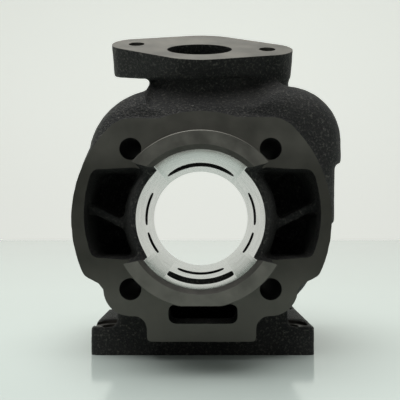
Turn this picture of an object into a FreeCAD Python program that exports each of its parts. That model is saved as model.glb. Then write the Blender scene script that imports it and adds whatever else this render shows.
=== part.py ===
import FreeCAD, Part
import math
import os

# Water-cooled two-stroke cylinder barrel, cast in one piece and then machined.
# Frame: the bore axis is Y, the base gasket face is the plane Y = 0, and Y grows
# towards the head. Z is up, so the barrel stands on its intake foot.

V = FreeCAD.Vector
doc = FreeCAD.newDocument("cylinder_barrel")
sheet = doc.addObject("Spreadsheet::Sheet", "dims")

DIMENSIONS = {
    # Bore, deck and spigot
    "bore_radius": 20.15,
    "deck_height": 60.0,
    "spigot_length": 20.0,
    "spigot_radius": 25.4,
    "mouth_chamfer": 1.2,
    "deck_chamfer": 0.5,
    "spigot_bevel": 0.4,
    "spigot_flat": 24.6,
    # Thin sleeve left standing between the two cutaways of the spigot
    "cutaway_top": 15.8,
    "cutaway_bottom": 12.4,
    "sleeve_lead": 5.2,
    "sleeve_lip_radius": 22.0,
    "sleeve_radius": 25.6,
    "sleeve_flare_depth": 7.0,
    "cutaway_fillet": 2.2,
    # Studs
    "stud_half_pitch": 22.5,
    "stud_hole_radius": 3.55,
    # Base plate
    "plate_radius": 41.9,
    "plate_offset": 0.3,
    "plate_depth": 10.0,
    "plate_crown_radius": 34.8,
    "plate_low_lobe": 8.8,
    "plate_shoulder_drop": 18.3,
    "plate_notch_drop": 21.6,
    "plate_notch_fillet": 2.0,
    "tongue_half_width": 17.7,
    "tongue_drop": 39.5,
    "tongue_fillet": 3.6,
    # Water jacket shell
    "jacket_radius": 45.1,
    "jacket_offset": 0.6,
    "jacket_lift": 3.5,
    "jacket_front": 3.0,
    "jacket_front_round": 15.5,
    "jacket_round_flats": 8.0,
    "jacket_wall": 5.6,
    "water_depth": 17.0,
    "stud_boss_radius": 6.8,
    # Coolant bulge on the right-hand side, shoulder on the left
    "bulge_reach": 48.1,
    "bulge_top": 42.6,
    "bulge_rise": 7.8,
    "bulge_bottom": 18.8,
    "bulge_corner": 19.0,
    "bulge_front": 4.0,
    "bulge_round": 9.0,
    "bulge_back": 56.0,
    "flank_reach": 45.3,
    "flank_bottom": -1.0,
    "flank_round": 6.0,
    "shoulder_reach": 38.6,
    "shoulder_top": 44.4,
    "shoulder_corner": 24.8,
    "coolant_hole_radius": 5.0,
    "coolant_hole_lift": 24.4,
    "coolant_hole_depth": 49.0,
    # Exhaust flange, tilted towards the base
    "exhaust_tilt": 30.0,
    "exhaust_seat_depth": 20.0,
    "exhaust_seat_lift": 61.0,
    "exhaust_flange_shift": 2.6,
    "exhaust_flange_turn": 10.0,
    "exhaust_flange_thickness": 12.2,
    "exhaust_underside_tilt": 18.0,
    "exhaust_underside_lift": 43.4,
    "exhaust_bolt_half_pitch": 24.0,
    "exhaust_bolt_radius": 2.9,
    "exhaust_ear_radius": 9.1,
    "exhaust_mid_radius": 19.4,
    "exhaust_outlet_width": 23.4,
    "exhaust_outlet_height": 16.4,
    "exhaust_outlet_shift": -1.6,
    "neck_inset": 1.8,
    "neck_waist_drop": 1.6,
    "neck_waist_flare": 1.5,
    "neck_root_drop": 14.3,
    "neck_root_flare": 3.5,
    # Intake foot and the duct block above it
    "foot_drop": 45.5,
    "foot_thickness": 9.5,
    "foot_left": 37.0,
    "foot_right": 38.3,
    "foot_front": 7.0,
    "foot_length": 48.0,
    "foot_corner": 2.0,
    "foot_bolt_half_pitch": 31.0,
    "foot_bolt_spacing": 32.0,
    "foot_bolt_radius": 3.2,
    "spot_face_radius": 6.0,
    "spot_face_sink": 1.2,
    "spot_face_clearance": 6.0,
    "block_left": 28.4,
    "block_right": 29.5,
    "block_length": 46.0,
    "block_corner": 3.0,
    "block_sharp_corner": 1.0,
    # Ports in the bore, by height over the base face
    "exhaust_port_floor": 23.5,
    "exhaust_port_roof": 37.5,
    "exhaust_port_half_angle": 41.7,
    "exhaust_duct_corner": 5.5,
    "exhaust_duct_start": 12.1,
    "transfer_floor": 24.0,
    "transfer_roof": 32.0,
    "boost_floor": 21.3,
    "boost_roof": 29.6,
    "boost_half_angle": 24.6,
    "skirt_window_lead": 6.6,
    "skirt_window_depth": 7.7,
    "skirt_window_half_angle": 31.0,
    # Transfer pockets and their dividing ribs
    "pocket_outer_radius": 37.9,
    "pocket_offset": 0.6,
    "pocket_lift": 1.7,
    "pocket_corner": 1.2,
    "pocket_depth": 24.0,
    "rib_thickness": 2.8,
    "rib_setback": 6.5,
    "rib_outer_lift": 4.3,
    "rib_inner_drop": 2.0,
    "transfer_outer_radius": 36.6,
    "transfer_bend": 9.6,
    "transfer_bend_flats": 3.0,
    "transfer_stud_side_radius": 27.5,
    "sleeve_shelf": 5.0,
    "passage_reach": 28.5,
    # Intake duct and the opening in the base plate
    "duct_wall_x": 7.0,
    "duct_front_wall": 6.0,
    "duct_back_wall": 6.0,
    "duct_roof_half_width": 14.5,
    "duct_roof_front": 9.0,
    "duct_roof_back": 31.0,
    "duct_roof_drop": 27.0,
    "duct_corner": 4.0,
    "base_window_left": 10.1,
    "base_window_right": 11.7,
    "base_window_top": 27.4,
    "base_window_bottom": 33.4,
    "base_window_corner": 1.2,
    "base_window_reach": 15.0,
}

for row, (alias, value) in enumerate(DIMENSIONS.items(), start=1):
    sheet.set(f"A{row}", alias)
    sheet.set(f"B{row}", str(value))
    sheet.setAlias(f"B{row}", alias)
doc.recompute()


def dim(alias):
    """Value of one cell of the sheet, in millimetres or degrees."""
    return float(sheet.get(alias))


# Every cut runs this far past the face it opens
OVERRUN = 2.0
# Solids that grow into each other share at least this much
OVERLAP = 1.0


def bind(obj, **expressions):
    """Tie properties of an object to cells of the sheet."""
    for prop, expression in expressions.items():
        obj.setExpression(prop.replace("__", "."), expression)


def line(start, end):
    """One straight run of an outline, from two (x, y) points."""
    return Part.LineSegment(V(*start, 0), V(*end, 0))


def arc(start, middle, end):
    """One round run of an outline, through three (x, y) points."""
    return Part.Arc(V(*start, 0), V(*middle, 0), V(*end, 0))


def polar(centre, radius, degrees):
    """Point at an angle on a circle."""
    turn = math.radians(degrees)
    return (centre[0] + radius * math.cos(turn), centre[1] + radius * math.sin(turn))


def arc_about(centre, radius, first, last):
    """Arc of a circle from one angle to another, in degrees."""
    start = polar(centre, radius, first)
    end = polar(centre, radius, last)
    return arc(start, polar(centre, radius, (first + last) / 2), end)


def arc_in_flats(centre, radius, first, last, flats):
    """Chain of equal straight runs between two angles: a round that stays light."""
    step = (last - first) / flats
    points = [polar(centre, radius, first + step * index) for index in range(flats + 1)]
    return [line(start, end) for start, end in zip(points, points[1:])]


def rounded_outline(corners):
    """Closed outline through (x, y, radius) corners, each rounded by its radius."""
    runs = []
    ends = []
    for index, (x, y, radius) in enumerate(corners):
        here = V(x, y, 0)
        before = V(*corners[index - 1][:2], 0) - here
        after = V(*corners[(index + 1) % len(corners)][:2], 0) - here
        before.normalize()
        after.normalize()
        if radius == 0:
            ends.append((here, here))
            continue
        half = before.getAngle(after) / 2
        reach = radius / math.tan(half)
        bisector = (before + after).normalize()
        crown = here + bisector * (radius / math.sin(half) - radius)
        first = here + before * reach
        last = here + after * reach
        runs.append(Part.Arc(first, crown, last))
        ends.append((first, last))
    for index, (first, _) in enumerate(ends):
        previous = ends[index - 1][1]
        if previous.distanceToPoint(first) > 1e-6:
            runs.append(Part.LineSegment(previous, first))
    return runs


def origin_plane(body, role):
    """One of a body's own origin planes, found by its role."""
    for feature in body.Origin.OriginFeatures:
        if feature.Role == role:
            return feature
    raise ValueError(role)


def add_sketch(body, name, role, geometry, offset=None):
    """Sketch on one of the body's planes, moved by an attachment offset."""
    sketch = body.newObject("Sketcher::SketchObject", name)
    sketch.AttachmentSupport = [(origin_plane(body, role), "")]
    sketch.MapMode = "FlatFace"
    if offset is not None:
        sketch.AttachmentOffset = offset
    sketch.addGeometry(geometry, False)
    return sketch


def add_body(name):
    """Empty PartDesign body."""
    return doc.addObject("PartDesign::Body", name)


def pad_along_bore(name, geometry, start, length):
    """Body padded towards the head from the height start over the base face."""
    body = add_body(name)
    sketch = add_sketch(body, name + "_profile", "XZ_Plane", geometry)
    bind(sketch, AttachmentOffset__Base__z=f"-({start})")
    pad = body.newObject("PartDesign::Pad", name + "_pad")
    pad.Profile = sketch
    pad.Reversed = True
    bind(pad, Length=length)
    body.Tip = pad
    doc.recompute()
    return body


def pad_upwards(name, geometry, start, length):
    """Body padded upwards in Z from the level start."""
    body = add_body(name)
    sketch = add_sketch(body, name + "_profile", "XY_Plane", geometry)
    bind(sketch, AttachmentOffset__Base__z=start)
    pad = body.newObject("PartDesign::Pad", name + "_pad")
    pad.Profile = sketch
    bind(pad, Length=length)
    body.Tip = pad
    doc.recompute()
    return body


def pad_across(name, geometry, width):
    """Body padded to both sides of the plane X = 0, from an outline in (Y, Z)."""
    body = add_body(name)
    sketch = add_sketch(body, name + "_profile", "YZ_Plane", geometry)
    pad = body.newObject("PartDesign::Pad", name + "_pad")
    pad.Profile = sketch
    pad.Midplane = True
    bind(pad, Length=width)
    body.Tip = pad
    doc.recompute()
    return body


def edges_where(shape, test):
    """Names of the edges for which a test of the edge holds."""
    return [f"Edge{i}" for i, edge in enumerate(shape.Edges, start=1) if test(edge)]


def round_edges(body, test, radius_expression, kind="PartDesign::Fillet"):
    """Fillet or chamfer on the edges of a body's tip that pass a test."""
    base = body.Tip
    names = edges_where(base.Shape, test)
    if not names:
        raise RuntimeError(body.Name + ": no edge to round")
    feature = body.newObject(kind, body.Name + "_" + kind.split("::")[1].lower())
    feature.Base = (base, names)
    prop = "Radius" if kind.endswith("Fillet") else "Size"
    bind(feature, **{prop: radius_expression})
    body.Tip = feature
    doc.recompute()
    return body


def along_y(edge):
    """True for a straight edge that runs along the bore."""
    if edge.Curve.TypeId != "Part::GeomLine":
        return False
    run = edge.Vertexes[-1].Point - edge.Vertexes[0].Point
    return abs(run.x) < 1e-6 and abs(run.z) < 1e-6


def cylinder_along_y(name, radius, start, length, x="0", z="0"):
    """Cylinder primitive whose axis is parallel to the bore."""
    tool = doc.addObject("Part::Cylinder", name)
    tool.Placement = FreeCAD.Placement(V(0, 0, 0), FreeCAD.Rotation(V(1, 0, 0), -90))
    bind(tool, Radius=radius, Height=length, Placement__Base__x=x)
    bind(tool, Placement__Base__y=start, Placement__Base__z=z)
    return tool


def cone_along_y(name, near_radius, far_radius, start, length):
    """Cone primitive on the bore axis, near radius first."""
    tool = doc.addObject("Part::Cone", name)
    tool.Placement = FreeCAD.Placement(V(0, 0, 0), FreeCAD.Rotation(V(1, 0, 0), -90))
    bind(tool, Radius1=near_radius, Radius2=far_radius, Height=length)
    bind(tool, Placement__Base__y=start)
    return tool


def box(name, low, size):
    """Box primitive from three low-corner and three size expressions."""
    tool = doc.addObject("Part::Box", name)
    bind(tool, Length=size[0], Width=size[1], Height=size[2])
    bind(tool, Placement__Base__x=low[0], Placement__Base__y=low[1])
    bind(tool, Placement__Base__z=low[2])
    return tool


def fuse(name, shapes):
    """Union of several objects."""
    union = doc.addObject("Part::MultiFuse", name)
    union.Shapes = shapes
    return union


def cut(name, base, tool):
    """Base with the tool taken away."""
    result = doc.addObject("Part::Cut", name)
    result.Base = base
    result.Tool = tool
    return result


def common(name, first, second):
    """What two objects share."""
    result = doc.addObject("Part::MultiCommon", name)
    result.Shapes = [first, second]
    return result


def fillet_where(name, base, test, radius):
    """Fillet on the edges of any object that pass a test."""
    doc.recompute()
    result = doc.addObject("Part::Fillet", name)
    result.Base = base
    result.Edges = [
        (index, radius, radius)
        for index, edge in enumerate(base.Shape.Edges, start=1)
        if test(edge)
    ]
    return result


def crossed_duct(name, front_view, side_view, reach, width, radius):
    """Duct that is what two tapered outlines share, one seen along the bore and one across."""
    front = pad_along_bore(name + "_front_view", front_view, "0", reach)
    side = pad_across(name + "_side_view", side_view, width)
    plain = common(name + "_plain", front, side)
    doc.recompute()
    height = plain.Shape.BoundBox.ZLength

    def at_long_edge(edge):
        return edge.BoundBox.ZLength > height / 2

    return fillet_where(name, plain, at_long_edge, radius)


def turned_section(name, outline, degrees):
    """Body swept round the bore axis from an outline in the (radius, height) plane."""
    body = add_body(name)
    sketch = add_sketch(body, name + "_profile", "XY_Plane", outline)
    turn = body.newObject("PartDesign::Revolution", name + "_turn")
    turn.Profile = sketch
    turn.ReferenceAxis = (sketch, ["V_Axis"])
    turn.Midplane = True
    turn.Angle = degrees
    body.Tip = turn
    doc.recompute()
    return body


# Base plate: one profile, with lobes round the studs, a crown over the bore
# and a tongue under the intake window
stud = dim("stud_half_pitch")
plate_centre = (dim("plate_offset"), 0)
plate_radius = dim("plate_radius")
crown_radius = dim("plate_crown_radius")
low_lobe = dim("plate_low_lobe")
shoulder_drop = dim("plate_shoulder_drop")
notch_angle = math.degrees(math.asin((stud - dim("plate_notch_drop")) / low_lobe))


def plate_half(side):
    """Right (1) or left (-1) half of the plate's outline, crown to tongue."""
    upper_stud = (side * stud, stud)
    lower_stud = (side * stud, -stud)
    step = (upper_stud[0] - plate_centre[0], stud)
    corner_radius = plate_radius - math.hypot(*step)
    corner_angle = math.degrees(math.atan2(step[1], step[0]))
    top = stud + corner_radius
    crown_end = (side * math.sqrt(crown_radius**2 - top**2), top)
    shoulder_rise = math.degrees(math.asin(shoulder_drop / plate_radius))
    shoulder_angle = -shoulder_rise if side > 0 else 180 + shoulder_rise
    shoulder = polar(plate_centre, plate_radius, shoulder_angle)
    lobe_angle = notch_angle if side > 0 else 180 - notch_angle
    lobe_start = polar(lower_stud, low_lobe, lobe_angle)
    lobe_end = polar(lower_stud, low_lobe, -90 if side > 0 else 270)
    tongue = plate_centre[0] + side * dim("tongue_half_width")
    round_off = dim("tongue_fillet")
    bend_centre = (tongue + side * round_off, lobe_end[1] - round_off)
    bend_start = (bend_centre[0], lobe_end[1])
    bend_end = (tongue, bend_centre[1])
    foot = (tongue, -dim("tongue_drop"))
    bend_middle = polar(bend_centre, round_off, 135 if side > 0 else 45)
    runs = [
        arc((0, crown_radius), polar((0, 0), crown_radius, 90 - side * 10), crown_end),
        line(crown_end, (upper_stud[0], top)),
        arc_about(upper_stud, corner_radius, 90, corner_angle),
        arc_about(plate_centre, plate_radius, corner_angle, shoulder_angle),
        line(shoulder, lobe_start),
        arc_about(lower_stud, low_lobe, lobe_angle, -90 if side > 0 else 270),
        line(lobe_end, bend_start),
        arc(bend_start, bend_middle, bend_end),
        line(bend_end, foot),
    ]
    return runs, foot


right_half, right_foot = plate_half(1)
left_half, left_foot = plate_half(-1)
plate_outline = right_half + left_half + [line(right_foot, left_foot)]
base_plate = pad_along_bore("base_plate", plate_outline, "0", "dims.plate_depth")


def at_notch(edge):
    """Edges of the two notches beside the lower studs."""
    point = edge.Vertexes[0].Point
    in_height = -dim("plate_notch_drop") - OVERLAP / 2 < point.z < -shoulder_drop + OVERLAP / 2
    return along_y(edge) and in_height and abs(point.x) > stud


round_edges(base_plate, at_notch, "dims.plate_notch_fillet")

# Water jacket shell: a drum a little above the bore axis, its front edge well rounded
jacket_centre = (dim("jacket_offset"), dim("jacket_lift"))
jacket_radius = dim("jacket_radius")
jacket_front = dim("jacket_front")
front_round = dim("jacket_front_round")
round_centre = (jacket_radius - front_round, jacket_front + front_round)
round_start = polar(round_centre, front_round, -90)
round_end = polar(round_centre, front_round, 0)
jacket_section = [
    line((0, jacket_front), round_start),
    *arc_in_flats(round_centre, front_round, -90, 0, int(dim("jacket_round_flats"))),
    line(round_end, (jacket_radius, dim("deck_height"))),
    line((jacket_radius, dim("deck_height")), (0, dim("deck_height"))),
    line((0, dim("deck_height")), (0, jacket_front)),
]
jacket = turned_section("jacket", jacket_section, 360)
jacket.Placement = FreeCAD.Placement(V(jacket_centre[0], 0, jacket_centre[1]), FreeCAD.Rotation())

# Coolant bulge on the right, with the plain flank under it
bulge_bottom = dim("bulge_bottom")
bulge_length = "dims.bulge_back - dims.bulge_front"
bulge_outline = rounded_outline([
    (0, dim("bulge_top") + dim("bulge_rise"), 0),
    (dim("bulge_reach"), dim("bulge_top"), dim("bulge_corner")),
    (dim("bulge_reach"), bulge_bottom, 0),
    (0, bulge_bottom, 0),
])
bulge = pad_along_bore("coolant_bulge", bulge_outline, "dims.bulge_front", bulge_length)
flank_outline = rounded_outline([
    (0, bulge_bottom + OVERLAP, 0),
    (dim("flank_reach"), bulge_bottom + OVERLAP, 0),
    (dim("flank_reach"), dim("flank_bottom"), 0),
    (stud, dim("flank_bottom") - stud, 0),
    (0, 0, 0),
])
flank = pad_along_bore("flank", flank_outline, "dims.bulge_front", bulge_length)


def on_bulge_front(edge):
    """Edges in the front plane of the bulge and the flank."""
    bounds = edge.BoundBox
    return bounds.YLength < 1e-6 and abs(bounds.YMax - dim("bulge_front")) < 1e-6


def at_bulge_rim(edge):
    """Front rim of the bulge, over its top and down its outer side."""
    bounds = edge.BoundBox
    return on_bulge_front(edge) and bounds.ZMax > bulge_bottom + OVERLAP and bounds.XMax > OVERLAP


def at_flank_rim(edge):
    """Front rim of the flank, down its outer side and in under it."""
    bounds = edge.BoundBox
    return on_bulge_front(edge) and bounds.XMin > stud - OVERLAP and bounds.ZMin < bulge_bottom


shoulder = pad_along_bore("left_shoulder", rounded_outline([
    (0, dim("shoulder_top"), 0),
    (0, 0, 0),
    (-dim("shoulder_reach"), 0, 0),
    (-dim("shoulder_reach"), dim("shoulder_top"), dim("shoulder_corner")),
]), "dims.bulge_front", bulge_length)


def at_shoulder_rim(edge):
    """Front rim of the shoulder, over its top and down its outer side."""
    bounds = edge.BoundBox
    return on_bulge_front(edge) and bounds.XMin < -OVERLAP and bounds.ZMax > OVERLAP


round_edges(bulge, at_bulge_rim, "dims.bulge_round")
round_edges(shoulder, at_shoulder_rim, "dims.bulge_round")
round_edges(flank, at_flank_rim, "dims.flank_round")

# Exhaust flange: two ears and a round middle joined by tangent lines, with its
# bolt line turned in the plane of the flange
tilt = FreeCAD.Placement(
    V(0, dim("exhaust_seat_depth"), dim("exhaust_seat_lift")),
    FreeCAD.Rotation(V(1, 0, 0), dim("exhaust_tilt")),
)
flange_turn = dim("exhaust_flange_turn")
flange_middle = (0, dim("exhaust_flange_shift"))
ear_pitch = dim("exhaust_bolt_half_pitch")
left_ear = polar(flange_middle, ear_pitch, 180 - flange_turn)
right_ear = polar(flange_middle, ear_pitch, -flange_turn)
ear_radius = dim("exhaust_ear_radius")
middle_radius = dim("exhaust_mid_radius")
tangent_angle = math.degrees(math.acos((middle_radius - ear_radius) / ear_pitch))
far_left = 180 - flange_turn - tangent_angle
near_left = 180 - flange_turn + tangent_angle
far_right = -flange_turn + tangent_angle
near_right = -flange_turn - tangent_angle
flange_outline = [
    arc_about(left_ear, ear_radius, far_left, near_left),
    line(polar(left_ear, ear_radius, near_left), polar(flange_middle, middle_radius, near_left)),
    arc_about(flange_middle, middle_radius, near_left, near_right + 360),
    line(polar(flange_middle, middle_radius, near_right), polar(right_ear, ear_radius, near_right)),
    arc_about(right_ear, ear_radius, near_right, far_right),
    line(polar(right_ear, ear_radius, far_right), polar(flange_middle, middle_radius, far_right)),
    arc_about(flange_middle, middle_radius, far_right, far_left),
    line(polar(flange_middle, middle_radius, far_left), polar(left_ear, ear_radius, far_left)),
]
flange_blank = pad_upwards(
    "exhaust_flange_blank",
    flange_outline,
    "-dims.exhaust_flange_thickness",
    "dims.exhaust_flange_thickness",
)
flange_blank.Placement = tilt

# The flange's underside is less tilted than its seat, so the ears are the thickest
above_underside = doc.addObject("Part::Box", "above_flange_underside")
above_underside.Placement = FreeCAD.Placement(
    V(0, 0, 0), FreeCAD.Rotation(V(1, 0, 0), dim("exhaust_underside_tilt"))
)
bind(
    above_underside,
    Length="4 * dims.exhaust_bolt_half_pitch",
    Width="dims.deck_height",
    Height="dims.exhaust_seat_lift",
    Placement__Base__x="-2 * dims.exhaust_bolt_half_pitch",
    Placement__Base__z="dims.exhaust_underside_lift",
)
exhaust_flange = common("exhaust_flange", flange_blank, above_underside)

# Neck between flange and jacket, flaring as it goes down


def neck_section(flare):
    """Section of the neck: the flange's outline without its left ear, grown by a flare."""
    grow = flare - dim("neck_inset")
    wide = middle_radius + grow
    narrow = ear_radius + grow
    return [
        arc_about(flange_middle, wide, far_right, near_right + 360),
        line(polar(flange_middle, wide, near_right), polar(right_ear, narrow, near_right)),
        arc_about(right_ear, narrow, near_right, far_right),
        line(polar(right_ear, narrow, far_right), polar(flange_middle, wide, far_right)),
    ]


neck = add_body("exhaust_neck")
neck_top = add_sketch(neck, "neck_top", "XY_Plane", neck_section(0))
neck_waist = add_sketch(neck, "neck_waist", "XY_Plane", neck_section(dim("neck_waist_flare")))
neck_root = add_sketch(neck, "neck_root", "XY_Plane", neck_section(dim("neck_root_flare")))
bind(neck_top, AttachmentOffset__Base__z="-dims.exhaust_flange_thickness / 2")
bind(
    neck_waist,
    AttachmentOffset__Base__z="-dims.exhaust_flange_thickness - dims.neck_waist_drop",
)
bind(neck_root, AttachmentOffset__Base__z="-dims.exhaust_flange_thickness - dims.neck_root_drop")
neck_loft = neck.newObject("PartDesign::AdditiveLoft", "neck_loft")
neck_loft.Profile = neck_top
neck_loft.Sections = [neck_waist, neck_root]
neck_loft.Ruled = True
neck.Tip = neck_loft
neck.Placement = tilt
doc.recompute()

# Intake foot and the block that carries the duct up to the drum
foot_outline = rounded_outline([
    (-dim("foot_left"), dim("foot_front"), dim("foot_corner")),
    (dim("foot_right"), dim("foot_front"), dim("foot_corner")),
    (dim("foot_right"), dim("foot_front") + dim("foot_length"), dim("foot_corner")),
    (-dim("foot_left"), dim("foot_front") + dim("foot_length"), dim("foot_corner")),
])
foot = pad_upwards("intake_foot", foot_outline, "-dims.foot_drop", "dims.foot_thickness")
block_outline = rounded_outline([
    (-dim("block_left"), dim("foot_front"), dim("block_corner")),
    (dim("block_right"), dim("foot_front"), dim("block_sharp_corner")),
    (dim("block_right"), dim("foot_front") + dim("block_length"), dim("block_corner")),
    (-dim("block_left"), dim("foot_front") + dim("block_length"), dim("block_corner")),
])
block = pad_upwards(
    "duct_block", block_outline, "-dims.foot_drop", "dims.foot_drop - dims.stud_half_pitch"
)

# Spigot and sleeve blank, its outer edge bevelled
spigot = cylinder_along_y(
    "spigot",
    "dims.spigot_radius",
    "-dims.spigot_length + dims.spigot_bevel",
    "dims.spigot_length - dims.spigot_bevel + dims.plate_depth",
)
spigot_edge = cone_along_y(
    "spigot_edge",
    "dims.spigot_radius - dims.spigot_bevel",
    "dims.spigot_radius",
    "-dims.spigot_length",
    "dims.spigot_bevel",
)
casting = fuse("casting", [
    base_plate, jacket, bulge, flank, shoulder, exhaust_flange, neck, foot, block, spigot, spigot_edge,
])
doc.recompute()

# Bore with its mouth and deck chamfers
bore = cylinder_along_y(
    "bore",
    "dims.bore_radius",
    f"-dims.spigot_length - {OVERRUN}",
    f"dims.spigot_length + dims.deck_height + 2 * {OVERRUN}",
)
mouth = cone_along_y(
    "mouth_chamfer",
    "dims.bore_radius + dims.mouth_chamfer",
    "dims.bore_radius",
    "-dims.spigot_length",
    "2 * dims.mouth_chamfer",
)
deck_edge = cone_along_y(
    "deck_chamfer",
    "dims.bore_radius",
    "dims.bore_radius + dims.deck_chamfer",
    "dims.deck_height - dims.deck_chamfer",
    "dims.deck_chamfer",
)

# Four stud holes on a square
stud_holes = []
for across in (-1, 1):
    for up in (-1, 1):
        stud_holes.append(cylinder_along_y(
            f"stud_hole_{len(stud_holes) + 1}",
            "dims.stud_hole_radius",
            f"-{OVERRUN}",
            f"dims.deck_height + 2 * {OVERRUN}",
            x=f"{across} * dims.stud_half_pitch",
            z=f"{up} * dims.stud_half_pitch",
        ))

# Cutaway across the spigot, level with the transfer pockets, its lower root filleted
cutaway_box = box(
    "spigot_cutaway_box",
    (
        f"-dims.spigot_radius - {OVERRUN}",
        f"-dims.spigot_length - {OVERRUN}",
        "-dims.cutaway_bottom",
    ),
    (
        f"2 * dims.spigot_radius + 2 * {OVERRUN}",
        f"dims.spigot_length - dims.sleeve_lead + {OVERRUN}",
        "dims.cutaway_top + dims.cutaway_bottom",
    ),
)


def at_cutaway_root(edge):
    """Lower edge at the bottom of the cutaway, across the spigot."""
    bounds = edge.BoundBox
    at_floor = abs(bounds.YMin + dim("sleeve_lead")) < 1e-6
    return at_floor and abs(bounds.ZMax + dim("cutaway_bottom")) < 1e-6


cutaway = fillet_where("spigot_cutaway", cutaway_box, at_cutaway_root, dim("cutaway_fillet"))

# Flat under the spigot, over the base window
spigot_flat = box(
    "spigot_flat",
    (
        "-dims.spigot_radius",
        f"-dims.spigot_length - {OVERRUN}",
        f"-dims.spigot_radius - {OVERRUN}",
    ),
    (
        "2 * dims.spigot_radius",
        f"dims.spigot_length + {OVERRUN}",
        f"dims.spigot_radius - dims.spigot_flat + {OVERRUN}",
    ),
)

# Sleeve between the pockets, flared from its lip to its root
sleeve_flare = cone_along_y(
    "sleeve_flare",
    "dims.sleeve_lip_radius",
    "dims.sleeve_radius",
    "-dims.sleeve_lead",
    "dims.sleeve_lead + dims.sleeve_flare_depth",
)
sleeve_root = cylinder_along_y(
    "sleeve_root",
    "dims.sleeve_radius",
    "dims.sleeve_flare_depth",
    f"dims.deck_height - dims.sleeve_flare_depth + {OVERRUN}",
)
sleeve = fuse("sleeve", [sleeve_flare, sleeve_root])
pocket_centre = (dim("pocket_offset"), dim("pocket_lift"))
pocket_radius = dim("pocket_outer_radius")


def transfer_pocket(name, side):
    """Pocket beside the sleeve, split by its rib; side is 1 for right, -1 for left."""
    top = dim("cutaway_top")
    low = -dim("cutaway_bottom")
    inner = side * (dim("cutaway_top") + OVERRUN)
    rise = math.degrees(math.asin((top - pocket_centre[1]) / pocket_radius))
    fall = math.degrees(math.asin((low - pocket_centre[1]) / pocket_radius))
    first = rise if side > 0 else 180 - rise
    last = fall if side > 0 else 180 - fall
    outer_top = polar(pocket_centre, pocket_radius, first)
    outer_low = polar(pocket_centre, pocket_radius, last)
    outline = [
        line((inner, top), outer_top),
        arc_about(pocket_centre, pocket_radius, first, last),
        line(outer_low, (inner, low)),
        line((inner, low), (inner, top)),
    ]
    blank = pad_along_bore(
        name, outline, "-dims.sleeve_lead", "dims.sleeve_lead + dims.pocket_depth"
    )

    def at_outer_corner(edge):
        return along_y(edge) and abs(edge.Vertexes[0].Point.x) > abs(inner) + OVERLAP

    round_edges(blank, at_outer_corner, "dims.pocket_corner")

    rib_outer = (side * pocket_radius, dim("rib_outer_lift"))
    rib_inner = (side * dim("sleeve_radius"), -dim("rib_inner_drop"))
    run = V(rib_outer[0] - rib_inner[0], rib_outer[1] - rib_inner[1], 0).normalize()
    across = V(-run.y, run.x, 0) * (dim("rib_thickness") / 2)
    start = V(*rib_inner, 0) - run * dim("rib_thickness")
    end = V(*rib_outer, 0) + run * dim("rib_thickness")
    corners = [start - across, end - across, end + across, start + across]
    rib_outline = rounded_outline([(corner.x, corner.y, 0) for corner in corners])
    rib = pad_along_bore(name + "_rib", rib_outline, "dims.rib_setback", "dims.pocket_depth")
    return cut(name + "_space", blank, fuse(name + "_core", [sleeve, rib]))


def sector(name, outline, first, last):
    """Outline in the (radius, height) plane swept round the bore between two angles."""
    body = turned_section(name, outline, last - first)
    turn = FreeCAD.Rotation(V(0, 1, 0), -(first + last) / 2)
    body.Placement = FreeCAD.Placement(V(0, 0, 0), turn)
    return body


bore_inside = dim("bore_radius") - OVERRUN
transfer_floor = dim("transfer_floor")
transfer_roof = dim("transfer_roof")


def transfer_profile(outer):
    """Section of a transfer passage that bends over from the pocket into its port."""
    shelf = transfer_floor - dim("sleeve_shelf")
    bend = min(dim("transfer_bend"), outer - dim("sleeve_radius"))
    slope = (transfer_floor - shelf) / (dim("sleeve_radius") - dim("bore_radius"))
    lip = transfer_floor + slope * (dim("bore_radius") - bore_inside)
    bend_centre = (outer - bend, transfer_roof - bend)
    return [
        line((dim("sleeve_radius"), shelf), (bore_inside, lip)),
        line((bore_inside, lip), (bore_inside, transfer_roof)),
        line((bore_inside, transfer_roof), (bend_centre[0], transfer_roof)),
        *arc_in_flats(bend_centre, bend, 90, 0, int(dim("transfer_bend_flats"))),
        line((outer, bend_centre[1]), (outer, shelf)),
        line((outer, shelf), (dim("sleeve_radius"), shelf)),
    ]


def ring_profile(inner, outer, low, high):
    """Plain rectangular section between two radii and two heights."""
    return rounded_outline([(inner, low, 0), (outer, low, 0), (outer, high, 0), (inner, high, 0)])


# Angles from the +X side: the front transfer, and the rear one in a wide part
# beside the pocket and a narrow part that passes inside the lower stud
TRANSFER_SECTORS = [
    ("front", -6.5, 28.0, dim("transfer_outer_radius")),
    ("rear", -27.0, -15.0, dim("transfer_outer_radius")),
    ("rear_inner", -38.5, -15.0, dim("transfer_stud_side_radius")),
]
transfers = []
for hand, side in (("right", 1), ("left", -1)):
    transfers.append(transfer_pocket(hand + "_pocket", side))
    for place, first, last, outer in TRANSFER_SECTORS:
        angles = (first, last) if side > 0 else (180 - last, 180 - first)
        transfers.append(sector(f"{hand}_{place}_transfer", transfer_profile(outer), *angles))

# Boost port and skirt window under the bore
reach = dim("passage_reach")
boost_profile = ring_profile(bore_inside, reach, dim("boost_floor"), dim("boost_roof"))
boost = sector(
    "boost_port", boost_profile, -90 - dim("boost_half_angle"), -90 + dim("boost_half_angle")
)
window_profile = ring_profile(
    bore_inside, reach, -dim("skirt_window_lead"), dim("skirt_window_depth")
)
window_half_angle = dim("skirt_window_half_angle")
skirt_window = sector("skirt_window", window_profile, -90 - window_half_angle, -90 + window_half_angle)

def polygon(points):
    """Closed outline of straight runs through (x, y) points."""
    return rounded_outline([(x, y, 0) for x, y in points])


def beyond(start, end, distance):
    """Point on a straight run, a distance past its end."""
    run = V(end[0] - start[0], end[1] - start[1], 0).normalize() * distance
    return (end[0] + run.x, end[1] + run.y)


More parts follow.
